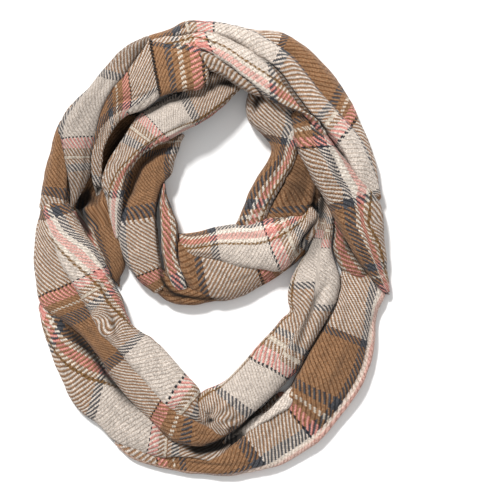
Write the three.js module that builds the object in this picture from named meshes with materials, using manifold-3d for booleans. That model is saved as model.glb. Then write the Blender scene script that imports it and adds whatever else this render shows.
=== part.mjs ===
// Infinity scarf: a plaid tube of brushed cloth joined into one loop, wound twice and laid flat.
// The outer turn is a large ring. It dives under itself at the top and goes on as a small inner ring.
// Units are millimetres, +Z is up, and the scarf lies on the plane z = 0.
// The origin is under the middle of the whole heap. +Y points to the top of the large ring.

import * as THREE from 'three';
import Module from 'manifold-3d';
import { mergeVertices } from 'three/addons/utils/BufferGeometryUtils.js';

// Driving dimensions
const MIDDLE_X = 211; // the sheet's x under the origin; a sheet coordinate is 1 mm
const MIDDLE_Y = 249.2; // the sheet's y under the origin, measured down from the sheet's top
const GAP = 0.35; // clear space between neighbouring folds
const SECTION_STEP = 16; // length of fold between two sections
const EDGE_HEIGHT = 0.45; // where a fold is widest, as a share of its height
const EDGE_ROUNDING = 0.55; // 1 gives a round back, and less a flatter one with tighter edges
const FOOT_INSET = 3; // how far the underside lies inside a fold's edge
const LEAST_HEIGHT = 5; // a fold is never thinner than this
const LEAST_PIECE = 30; // cubic millimetres; a cut-off crumb below this is dropped

// How the back of a fold is divided between its outer and its inner edge
const BACK_POINTS = 8;

const COLOURS = {
  beige: 0xdccfc0,
  brown: 0xa17a52,
  twill: 0xb39a7e,
  slate: 0x6b6f74,
  coral: 0xd79a83,
};

// Each fold is a strip of the heaped cloth. Its rows go clockwise round the ring. Columns:
// outer edge x, y, inner edge x, y on the sheet, height at outer edge, at inner edge, extra in between.
// base is the height of its underside. The folds are listed from the uppermost to the lowest.
const FOLDS = {
  outer_left_front: {
    base: 0,
    colour: 'beige',
    rows: [
      [68, 206, 74, 206, 12, 12, 0],
      [69, 190, 85, 188, 20, 20, 1],
      [67, 172, 92, 170, 26, 26, 2],
      [63, 152, 93, 152, 28, 30, 2],
      [59, 132, 98, 129, 28, 33, 3],
      [70, 106, 105, 108, 28, 35, 3],
      [90, 85, 116, 88, 28, 36, 3],
      [107, 65, 129, 72, 28, 36, 3],
      [124, 48, 141, 56, 28, 34, 2],
      [143, 37, 152, 41, 26, 30, 1],
    ],
  },
  outer_top_crest: {
    base: 0,
    colour: 'beige',
    rows: [
      [150, 35, 153, 42, 26, 28, 0],
      [171, 29, 173, 39, 34, 36, 1],
      [190, 22, 193, 37, 36, 38, 2],
      [214, 22, 213, 38, 36, 42, 2],
      [229, 25, 229, 42, 36, 42, 3],
      [242, 28, 242, 49, 36, 42, 3],
      [258, 34, 252, 56, 38, 42, 3],
      [281, 48, 268, 68, 36, 42, 3],
      [296, 60, 282, 81, 36, 40, 3],
      [310, 75, 293, 95, 34, 38, 3],
      [324, 94, 306, 112, 34, 38, 3],
      [339, 110, 322, 129, 34, 36, 3],
      [352, 126, 336, 146, 32, 34, 3],
      [366, 148, 350, 168, 30, 32, 2],
      [375, 171, 358, 182, 26, 28, 1],
      [380, 192, 366, 198, 20, 20, 0],
    ],
  },
  outer_top_inner_fold: {
    base: 26,
    colour: 'coral',
    rows: [
      [150, 40, 152, 47, 32, 34, 0],
      [172, 36, 176, 48, 38, 40, 0],
      [193, 33, 199, 50, 42, 44, 0],
      [212, 32, 219, 61, 44, 48, 1],
      [229, 38, 232, 71, 44, 50, 2],
      [243, 46, 245, 82, 44, 50, 3],
      [257, 54, 258, 92, 44, 50, 3],
      [270, 62, 273, 102, 43, 49, 3],
      [283, 75, 287, 110, 42, 47, 3],
      [295, 92, 301, 114, 40, 45, 2],
      [308, 110, 314, 122, 38, 42, 1],
      [322, 128, 322, 134, 34, 36, 0],
    ],
  },
  outer_seam_left: {
    base: 24,
    colour: 'twill',
    rows: [
      [95, 194, 102, 195, 10, 10, 0],
      [91, 175, 102, 175, 19, 21, 0],
      [91, 154, 103, 154, 26, 28, 1],
      [95, 131, 109, 138, 30, 32, 1],
      [101, 111, 116, 125, 32, 34, 2],
      [109, 94, 126, 116, 34, 36, 2],
      [120, 79, 141, 111, 34, 38, 2],
      [132, 63, 152, 105, 34, 38, 3],
      [150, 41, 160, 98, 33, 38, 3],
    ],
  },
  outer_seam_right: {
    base: 26,
    colour: 'brown',
    rows: [
      [151, 41, 161, 98, 34, 40, 3],
      [164, 41, 172, 94, 38, 43, 3],
      [180, 42, 187, 92, 41, 45, 2],
      [195, 45, 200, 91, 43, 46, 1],
      [204, 52, 207, 86, 43, 44, 0],
    ],
  },
  outer_top_roll: {
    base: 28,
    colour: 'twill',
    rows: [
      [198, 50, 209, 72, 44, 44, 2],
      [214, 56, 222, 78, 46, 44, 2],
      [229, 67, 236, 87, 46, 44, 2],
      [243, 78, 249, 94, 46, 43, 2],
      [255, 88, 260, 97, 44, 41, 0],
    ],
  },
  outer_right_arm: {
    base: 0,
    colour: 'beige',
    rows: [
      [308, 106, 290, 117, 34, 34, 1],
      [322, 128, 291, 133, 34, 34, 2],
      [334, 145, 296, 147, 33, 34, 3],
      [346, 158, 303, 164, 32, 34, 3],
      [358, 170, 313, 183, 31, 33, 3],
      [371, 184, 323, 200, 28, 32, 3],
      [381, 203, 332, 214, 24, 30, 3],
      [385, 222, 341, 231, 22, 28, 3],
      [385, 243, 352, 250, 20, 26, 3],
      [387, 265, 364, 268, 17, 22, 2],
      [389, 281, 376, 284, 13, 17, 1],
      [389, 291, 386, 293, 8, 10, 0],
    ],
  },
  outer_left_edge: {
    base: 0,
    colour: 'brown',
    rows: [
      [40, 206, 60, 212, 16, 18, 0],
      [41, 198, 68, 206, 20, 22, 1],
      [43, 187, 72, 190, 22, 24, 2],
      [46, 168, 71, 170, 22, 25, 2],
      [51, 150, 68, 152, 22, 24, 2],
      [55, 134, 64, 136, 20, 22, 1],
      [60, 122, 66, 126, 16, 18, 0],
    ],
  },
  inner_left_strand: {
    base: 14,
    colour: 'beige',
    rows: [
      [115, 236, 120, 232, 18, 18, 0],
      [110, 217, 121, 211, 24, 26, 0],
      [105, 198, 124, 196, 26, 31, 1],
      [102, 182, 127, 182, 27, 34, 2],
      [108, 162, 132, 168, 27, 36, 3],
      [118, 146, 142, 156, 28, 38, 3],
      [128, 130, 154, 148, 28, 40, 4],
      [140, 113, 168, 141, 28, 41, 4],
      [158, 101, 183, 133, 29, 41, 4],
      [178, 91, 197, 125, 30, 40, 4],
      [195, 82, 212, 115, 30, 38, 3],
      [211, 72, 225, 104, 30, 36, 2],
      [226, 64, 236, 92, 30, 34, 1],
      [240, 56, 248, 84, 28, 30, 0],
    ],
  },
  outer_right_inner: {
    base: 0,
    colour: 'beige',
    rows: [
      [336, 206, 315, 196, 16, 16, 0],
      [334, 217, 319, 212, 18, 17, 0],
      [332, 233, 316, 231, 19, 18, 1],
      [331, 250, 307, 249, 20, 20, 2],
      [337, 266, 298, 266, 22, 22, 3],
      [341, 282, 291, 283, 23, 23, 3],
      [337, 300, 289, 300, 24, 24, 3],
      [328, 318, 290, 312, 25, 24, 3],
      [318, 336, 281, 321, 26, 24, 3],
      [308, 353, 270, 333, 26, 24, 3],
      [299, 369, 259, 344, 26, 24, 3],
      [289, 381, 247, 358, 26, 24, 3],
      [272, 398, 231, 375, 26, 24, 3],
      [253, 414, 217, 386, 26, 25, 4],
      [239, 427, 204, 391, 25, 25, 4],
      [223, 437, 195, 400, 23, 25, 3],
      [212, 438, 195, 411, 18, 20, 1],
      [204, 436, 198, 421, 12, 13, 0],
    ],
  },
  outer_left_inner: {
    base: 0,
    colour: 'beige',
    rows: [
      [210, 437, 209, 425, 14, 14, 0],
      [190, 426, 200, 404, 24, 24, 1],
      [176, 416, 199, 390, 27, 26, 2],
      [161, 406, 184, 371, 28, 27, 3],
      [144, 385, 170, 356, 28, 27, 3],
      [128, 366, 152, 338, 28, 27, 3],
      [117, 352, 142, 332, 28, 27, 3],
      [106, 341, 131, 322, 28, 27, 3],
      [93, 319, 121, 299, 28, 28, 3],
      [80, 299, 112, 280, 28, 28, 3],
      [68, 279, 104, 264, 28, 28, 3],
      [58, 260, 94, 246, 27, 27, 3],
      [50, 236, 82, 228, 25, 25, 2],
      [44, 216, 71, 208, 22, 22, 1],
      [41, 200, 62, 192, 18, 18, 0],
    ],
  },
  inner_left_roll: {
    base: 0,
    colour: 'coral',
    rows: [
      [178, 297, 190, 294, 16, 16, 0],
      [171, 284, 187, 280, 22, 22, 1],
      [165, 268, 182, 264, 25, 24, 2],
      [162, 250, 178, 249, 27, 26, 2],
      [161, 232, 178, 231, 28, 27, 2],
      [160, 214, 174, 215, 28, 27, 2],
      [160, 199, 168, 198, 27, 26, 1],
      [162, 186, 166, 186, 24, 24, 0],
    ],
  },
  inner_front: {
    base: 0,
    colour: 'beige',
    rows: [
      [322, 224, 307, 204, 18, 20, 0],
      [317, 234, 300, 214, 22, 24, 0],
      [307, 247, 290, 215, 26, 28, 1],
      [297, 258, 280, 218, 27, 30, 2],
      [283, 269, 265, 220, 27, 31, 3],
      [266, 272, 250, 223, 27, 31, 3],
      [246, 270, 235, 224, 27, 30, 3],
      [226, 265, 219, 226, 27, 29, 3],
      [208, 261, 203, 230, 26, 28, 2],
      [194, 257, 188, 233, 24, 26, 1],
      [183, 252, 180, 232, 20, 22, 0],
    ],
  },
  inner_right_strand: {
    base: 0,
    colour: 'brown',
    rows: [
      [296, 98, 250, 87, 30, 30, 0],
      [296, 112, 246, 104, 31, 30, 1],
      [296, 126, 249, 121, 31, 29, 2],
      [298, 140, 262, 133, 31, 28, 2],
      [298, 152, 271, 147, 30, 27, 2],
      [294, 166, 268, 161, 29, 26, 2],
      [286, 180, 259, 176, 28, 25, 2],
      [278, 192, 250, 192, 27, 24, 2],
      [273, 203, 243, 207, 26, 23, 2],
      [267, 216, 236, 223, 25, 22, 1],
      [262, 228, 229, 236, 22, 20, 0],
    ],
  },
  inner_left_side: {
    base: 0,
    colour: 'brown',
    rows: [
      [152, 294, 166, 282, 18, 20, 0],
      [136, 279, 162, 268, 20, 24, 1],
      [124, 262, 160, 253, 20, 26, 2],
      [117, 242, 158, 235, 20, 27, 2],
      [112, 222, 158, 216, 20, 27, 2],
      [113, 206, 160, 197, 20, 26, 2],
      [116, 192, 163, 184, 20, 25, 1],
      [118, 176, 171, 174, 20, 25, 1],
      [128, 160, 174, 160, 20, 26, 1],
      [144, 148, 179, 147, 20, 27, 1],
      [164, 136, 184, 136, 22, 28, 0],
    ],
  },
  inner_right_side: {
    base: 0,
    colour: 'brown',
    rows: [
      [308, 150, 288, 158, 24, 24, 0],
      [314, 168, 284, 174, 26, 24, 2],
      [319, 184, 276, 188, 26, 23, 4],
      [323, 196, 270, 200, 25, 22, 4],
      [319, 208, 266, 211, 23, 21, 3],
      [309, 220, 264, 220, 20, 19, 1],
    ],
  },
  inner_front_under: {
    base: 0,
    colour: 'twill',
    rows: [
      [305, 254, 296, 244, 10, 14, 0],
      [293, 265, 284, 254, 13, 18, 1],
      [277, 277, 268, 260, 15, 20, 2],
      [259, 287, 250, 260, 16, 22, 3],
      [240, 296, 232, 256, 17, 23, 3],
      [222, 300, 212, 252, 18, 24, 3],
      [206, 298, 196, 248, 19, 24, 2],
      [192, 291, 184, 244, 20, 24, 1],
      [183, 279, 178, 240, 20, 24, 0],
    ],
  },
  inner_bottom_edge: {
    base: 0,
    colour: 'brown',
    rows: [
      [246, 294, 240, 280, 8, 12, 0],
      [230, 299, 225, 284, 10, 14, 0],
      [213, 302, 208, 286, 12, 16, 1],
      [197, 305, 194, 288, 13, 18, 1],
      [181, 305, 183, 286, 13, 20, 1],
      [168, 302, 173, 280, 13, 20, 1],
      [154, 291, 163, 270, 13, 20, 1],
      [140, 281, 150, 262, 12, 20, 1],
      [129, 269, 140, 252, 10, 18, 0],
    ],
  },
  outer_left_middle: {
    base: 0,
    colour: 'slate',
    rows: [
      [117, 285, 120, 277, 7, 7, 0],
      [111, 277, 125, 266, 13, 13, 0],
      [103, 262, 124, 252, 17, 17, 1],
      [90, 247, 119, 232, 18, 18, 1],
      [79, 231, 115, 214, 16, 18, 1],
      [71, 215, 112, 197, 12, 18, 1],
      [71, 199, 112, 182, 9, 17, 0],
      [82, 178, 116, 165, 9, 16, 0],
      [96, 150, 124, 146, 11, 16, 0],
      [108, 128, 134, 130, 12, 16, 0],
      [120, 114, 146, 116, 12, 16, 0],
    ],
  },
  outer_left_lower: {
    base: 0,
    colour: 'brown',
    rows: [
      [232, 434, 222, 430, 14, 16, 0],
      [221, 441, 213, 428, 20, 22, 0],
      [211, 446, 205, 424, 22, 24, 1],
      [197, 447, 196, 420, 22, 25, 1],
      [173, 441, 182, 411, 22, 25, 2],
      [154, 426, 168, 400, 22, 25, 2],
      [131, 402, 148, 378, 22, 25, 2],
      [112, 381, 132, 360, 22, 25, 2],
      [97, 356, 118, 342, 22, 25, 2],
      [82, 339, 104, 326, 21, 24, 2],
      [62, 322, 92, 308, 20, 24, 2],
      [40, 306, 80, 290, 16, 24, 2],
      [34, 280, 70, 268, 14, 23, 2],
      [33, 252, 60, 250, 13, 22, 2],
      [35, 226, 54, 228, 13, 20, 1],
      [41, 204, 50, 206, 12, 16, 0],
    ],
  },
  outer_right_tuck: {
    base: 0,
    colour: 'beige',
    rows: [
      [296, 400, 298, 380, 16, 14, 0],
      [289, 409, 287, 391, 18, 14, 1],
      [279, 414, 276, 401, 18, 13, 1],
      [269, 420, 266, 410, 17, 12, 1],
      [259, 427, 251, 415, 15, 11, 0],
      [250, 436, 239, 424, 12, 10, 0],
      [241, 443, 229, 433, 9, 9, 0],
      [233, 448, 223, 441, 7, 7, 0],
    ],
  },
  outer_left_bottom: {
    base: 0,
    colour: 'twill',
    rows: [
      [232, 446, 232, 430, 8, 5, 0],
      [220, 461, 218, 436, 12, 5, 0],
      [210, 463, 205, 438, 13, 5, 1],
      [196, 460, 190, 434, 14, 6, 1],
      [173, 458, 174, 428, 14, 9, 2],
      [150, 456, 158, 415, 12, 17, 2],
      [130, 450, 142, 399, 12, 17, 3],
      [112, 441, 125, 384, 12, 17, 3],
      [96, 424, 110, 368, 12, 17, 3],
      [80, 412, 100, 350, 11, 17, 3],
      [67, 393, 86, 335, 11, 17, 3],
      [52, 362, 70, 320, 10, 17, 2],
      [42, 332, 56, 306, 10, 15, 1],
      [37, 310, 46, 300, 8, 12, 0],
    ],
  },
  outer_right_under: {
    base: 0,
    colour: 'coral',
    rows: [
      [343, 214, 330, 216, 10, 10, 0],
      [348, 228, 334, 228, 13, 13, 0],
      [354, 244, 333, 248, 14, 14, 1],
      [364, 260, 340, 268, 14, 14, 1],
      [374, 274, 354, 281, 12, 13, 1],
      [383, 285, 369, 289, 10, 11, 0],
      [389, 293, 382, 293, 6, 6, 0],
    ],
  },
  outer_right_lower: {
    base: 0,
    colour: 'brown',
    rows: [
      [389, 288, 350, 262, 8, 10, 0],
      [386, 297, 342, 272, 12, 16, 1],
      [380, 308, 338, 290, 14, 20, 2],
      [376, 326, 334, 306, 14, 22, 3],
      [374, 350, 322, 330, 14, 24, 3],
      [367, 376, 309, 352, 14, 24, 3],
      [355, 398, 298, 372, 14, 23, 3],
      [337, 423, 288, 390, 13, 19, 3],
      [319, 442, 278, 394, 12, 12, 3],
      [302, 454, 264, 406, 12, 11, 3],
      [283, 466, 250, 419, 12, 11, 2],
      [264, 471, 241, 438, 12, 16, 2],
      [245, 475, 230, 447, 11, 14, 1],
      [226, 477, 218, 456, 10, 12, 1],
      [206, 476, 204, 458, 9, 10, 0],
      [178, 473, 176, 452, 9, 10, 0],
      [154, 467, 152, 448, 9, 10, 0],
      [132, 459, 134, 440, 8, 9, 0],
      [116, 446, 122, 432, 6, 7, 0],
    ],
  },
  outer_top_outer_fold: {
    base: 0,
    colour: 'brown',
    rows: [
      [238, 26, 238, 38, 18, 24, 0],
      [257, 30, 251, 43, 20, 26, 1],
      [277, 31, 268, 56, 20, 27, 2],
      [296, 39, 284, 68, 20, 27, 2],
      [315, 53, 299, 84, 20, 27, 2],
      [329, 69, 313, 102, 19, 26, 2],
      [342, 88, 327, 118, 18, 25, 2],
      [355, 110, 341, 134, 17, 24, 2],
      [371, 144, 354, 154, 16, 22, 1],
      [378, 173, 364, 178, 14, 20, 1],
      [382, 196, 370, 200, 12, 16, 0],
    ],
  },
};

// A smooth value through four evenly spaced ones, f of the way from b to c
function smooth(a, b, c, d, f) {
  const slopeIn = (c - a) / 2;
  const slopeOut = (d - b) / 2;
  const f2 = f * f;
  const f3 = f2 * f;
  return (2 * f3 - 3 * f2 + 1) * b + (f3 - 2 * f2 + f) * slopeIn + (3 * f2 - 2 * f3) * c + (f3 - f2) * slopeOut;
}

// The row of a fold's table at a place between its rows
function rowAt(rows, place) {
  const last = rows.length - 1;
  const i = Math.min(Math.floor(place), last - 1);
  const f = place - i;
  const before = rows[Math.max(i - 1, 0)];
  const after = rows[Math.min(i + 2, last)];
  return rows[i].map((b, column) => smooth(before[column], b, rows[i + 1][column], after[column], f));
}

// One row as the two edges and the heights in the part's frame, widened by grow on each side
function edgesOf(row, grow) {
  const [outerX, outerY, innerX, innerY, outerHeight, innerHeight, extra] = row;
  const outer = new THREE.Vector2(outerX - MIDDLE_X, MIDDLE_Y - outerY);
  const inner = new THREE.Vector2(innerX - MIDDLE_X, MIDDLE_Y - innerY);
  const across = inner.clone().sub(outer).normalize();
  outer.addScaledVector(across, -grow);
  inner.addScaledVector(across, grow);
  return { outer, inner, outerHeight, innerHeight, extra };
}

// The closed section of a fold: over its back from the outer to the inner edge, then along its underside
function sectionOf(row, base, grow, shift) {
  const { outer, inner, outerHeight, innerHeight, extra } = edgesOf(row, grow);
  const width = outer.distanceTo(inner);
  const least = Math.min(outerHeight, innerHeight);
  const foot = Math.max(0, Math.min(base, least - LEAST_HEIGHT)) - grow;
  const points = [];
  const add = (share, height) => {
    const x = THREE.MathUtils.lerp(outer.x, inner.x, share) + shift.x;
    const y = THREE.MathUtils.lerp(outer.y, inner.y, share) + shift.y;
    points.push(new THREE.Vector3(x, y, height));
  };
  for (let i = 0; i <= BACK_POINTS; i += 1) {
    const angle = (Math.PI * i) / BACK_POINTS;
    const side = Math.sign(Math.cos(angle)) * Math.abs(Math.cos(angle)) ** EDGE_ROUNDING;
    const share = i === BACK_POINTS / 2 ? 0.5 : (1 - side) / 2;
    const top = THREE.MathUtils.lerp(outerHeight, innerHeight, share) + extra * 4 * share * (1 - share) + grow;
    const belly = foot + (top - foot) * EDGE_HEIGHT;
    const rise = i % BACK_POINTS === 0 ? 0 : Math.sin(angle) ** EDGE_ROUNDING;
    add(share, belly + (top - belly) * rise);
  }
  const inset = Math.min(FOOT_INSET / width, 0.3);
  const ankle = foot + (least - foot) * EDGE_HEIGHT * 0.35;
  add(1 - inset / 3, ankle);
  add(1 - inset, foot);
  add(inset, foot);
  add(inset / 3, ankle);
  return points;
}

// The length of a fold along its middle
function lengthOf(rows) {
  const middles = rows.map((row) => new THREE.Vector2((row[0] + row[2]) / 2, (row[1] + row[3]) / 2));
  return middles.slice(1).reduce((sum, point, i) => sum + point.distanceTo(middles[i]), 0);
}

// How far a grown fold's end moves out, as a plan vector
function endShift(rows, atEnd, grow) {
  const near = atEnd ? rows[rows.length - 1] : rows[0];
  const next = atEnd ? rows[rows.length - 2] : rows[1];
  const x = near[0] + near[2] - next[0] - next[2];
  const y = next[1] + next[3] - near[1] - near[3];
  return new THREE.Vector2(x, y).setLength(grow);
}

// A fold as one closed body: sections joined side by side, and a flat end at each end
function foldGeometry({ base, rows }, grow = 0) {
  const count = Math.max(4, Math.round(lengthOf(rows) / SECTION_STEP));
  const sections = [];
  for (let i = 0; i <= count; i += 1) {
    const row = rowAt(rows, ((rows.length - 1) * i) / count);
    const atEnd = i === 0 || i === count;
    const shift = atEnd && grow > 0 ? endShift(rows, i === count, grow) : new THREE.Vector2();
    sections.push(sectionOf(row, base, grow, shift));
  }
  const around = sections[0].length;
  const positions = sections.flat().flatMap((point) => [point.x, point.y, point.z]);
  const faces = [];
  for (let i = 0; i < count; i += 1) {
    for (let j = 0; j < around; j += 1) {
      const a = i * around + j;
      const b = i * around + ((j + 1) % around);
      faces.push(a, b, a + around, b, b + around, a + around);
    }
  }
  addEnd(faces, 0, around, true);
  addEnd(faces, count * around, around, false);
  const geometry = new THREE.BufferGeometry();
  geometry.setAttribute('position', new THREE.Float32BufferAttribute(positions, 3));
  geometry.setIndex(faces);
  return geometry;
}

// Closes a section with strips of triangles that run from its outer to its inner edge
function addEnd(faces, first, around, turned) {
  let low = around - 1;
  let high = 1;
  const push = (a, b, c) => faces.push(...(turned ? [a, c, b] : [a, b, c]).map((k) => k + first));
  push(0, high, low);
  while (high < low - 1) {
    const stepHigh = (high - 1) * (around - BACK_POINTS) <= (around - 1 - low) * BACK_POINTS;
    if (stepHigh) {
      push(high, high + 1, low);
      high += 1;
    } else {
      push(high, low - 1, low);
      low -= 1;
    }
  }
}

const wasm = await Module();
wasm.setup();

function toSolid(geometry) {
  const merged = mergeVertices(geometry, 1e-4);
  const solid = new wasm.Manifold(new wasm.Mesh({
    numProp: 3,
    vertProperties: new Float32Array(merged.attributes.position.array),
    triVerts: new Uint32Array(merged.index.array),
  }));
  if (solid.volume() < 0) {
    throw new Error('a fold is inside out');
  }
  return solid;
}

// The largest part of a fold that its upper neighbours left
function largest(solid) {
  const bodies = solid.decompose().filter((body) => body.volume() > LEAST_PIECE);
  return bodies.reduce((best, body) => (body.volume() > best.volume() ? body : best));
}

function toGeometry(solid) {
  const { vertProperties, triVerts } = solid.getMesh();
  const geometry = new THREE.BufferGeometry();
  geometry.setAttribute('position', new THREE.Float32BufferAttribute(vertProperties, 3));
  geometry.setIndex([...triVerts]);
  geometry.computeVertexNormals();
  return geometry;
}

function clothMaterial(colour) {
  return new THREE.MeshStandardMaterial({ color: COLOURS[colour], roughness: 0.95, metalness: 0 });
}

// Each fold is cut clear of every fold above it
const scarf = new THREE.Group();
let above = null;
for (const [name, fold] of Object.entries(FOLDS)) {
  const whole = toSolid(foldGeometry(fold));
  const visible = above ? largest(whole.subtract(above)) : whole;
  const mesh = new THREE.Mesh(toGeometry(visible), clothMaterial(fold.colour));
  mesh.name = name;
  scarf.add(mesh);
  const grown = toSolid(foldGeometry(fold, GAP));
  above = above ? above.add(grown) : grown;
}

export default scarf;
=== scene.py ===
# Infinity scarf: a plaid tube of brushed twill joined into one loop, wound twice and laid flat.
# Each stretch of the cloth is a thin shell on the form of its solid. The plaid is one sett, charted,
# that runs along the whole loop. Tables are in sheet millimetres: x to the right, y down.
import math

import bpy
import numpy as np
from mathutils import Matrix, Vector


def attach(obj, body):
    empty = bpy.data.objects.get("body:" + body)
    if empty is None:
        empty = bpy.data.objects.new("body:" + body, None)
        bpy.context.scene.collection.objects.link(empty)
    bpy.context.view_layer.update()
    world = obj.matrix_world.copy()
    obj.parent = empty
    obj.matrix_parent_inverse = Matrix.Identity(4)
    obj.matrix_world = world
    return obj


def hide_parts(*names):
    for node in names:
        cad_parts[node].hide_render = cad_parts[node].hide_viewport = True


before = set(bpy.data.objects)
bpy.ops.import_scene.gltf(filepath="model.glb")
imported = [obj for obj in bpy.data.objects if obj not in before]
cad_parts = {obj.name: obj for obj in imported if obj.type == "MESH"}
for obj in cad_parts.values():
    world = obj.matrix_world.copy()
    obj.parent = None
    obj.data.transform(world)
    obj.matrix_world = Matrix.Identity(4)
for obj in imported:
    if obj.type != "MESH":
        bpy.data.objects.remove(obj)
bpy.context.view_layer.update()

MM = 0.001
MIDDLE_X = 211.0         # the sheet's x under the origin
MIDDLE_Y = 249.2         # the sheet's y under the origin
EDGE_HEIGHT = 0.45       # where a fold is widest, as a share of its height
EDGE_POWER = 2 / 0.55    # roundness of a fold's section
FOOT_INSET = 3.0         # how far the underside lies inside a fold's edge
LEAST_HEIGHT = 5.0
ANKLE = 0.35             # height of the underside's corners, as a share of where the fold is widest
BACK_POINTS = 61         # points of a section over a fold's back
UNDER = 3                # and on each side of the underside
STEP = 2.0               # distance between the points of a shell
ROW_STEPS = 40           # steps from row to row while a fold is measured
LINE_STEPS = 5           # steps from point to point of a crease
CLOTH_THICKNESS = 1.1
FLOOR_GAP = 0.1          # between the cloth in a deep crease and the floor
UPWARD = 0.3             # a normal that rises more than this faces up
SLOT = 1.5               # half the gap under a fold, where the cloth's two edges meet
FACE_FROM = 0.1          # share of the way across where a fold's upper face begins
UV_UNIT = 100.0          # length of one unit of the UV map
YARN = 1.28              # distance between neighbouring yarns
TWILL = 4                # yarns in one repeat of the twill
WARP_REPEAT = 144        # the plaid's repeat across the tube
WEFT_REPEAT = 163        # the plaid's repeat along the loop

# Relief. Low forms have a depth, a length along the stretch and a width across it.
SOFT_FOLD = (1.2, 44, 10)
WAVE = (0.9, 18, 15)
PUCKER = (0.3, 6, 24)    # these two lie along the diagonals
CREASE_VARY = 0.3        # unevenness, as a share
GLOOM_DEPTH = 7          # a crease this deep is painted black at its bottom, as shade
LAYERS = 3.2             # cloth layers that show on a flank
LAYER_LEAST = 4.0
LAYER_VARY = (0.4, 34)   # their unevenness and the length of that
GROOVE = (1.5, 0.5, 22)  # depth between two layers, its unevenness and the length of that
GROOVE_WIDTH = 0.14      # as a share of a layer
FACE_UP = (-0.15, 0.45)  # how far a place faces up where creases begin and are full
FLANK = (0.25, 0.75)     # how far a place faces sideways where grooves begin and are full
FOOT_CALM = (0.3, 5.0)   # heights above the foot where relief begins and is full
SWIRL_ABOVE = 4          # height above which a bunched place counts
SEEDS = {"crease": 300, "fold": 20, "wave": 60, "pucker": 100, "layer": 140, "groove": 180}
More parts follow.
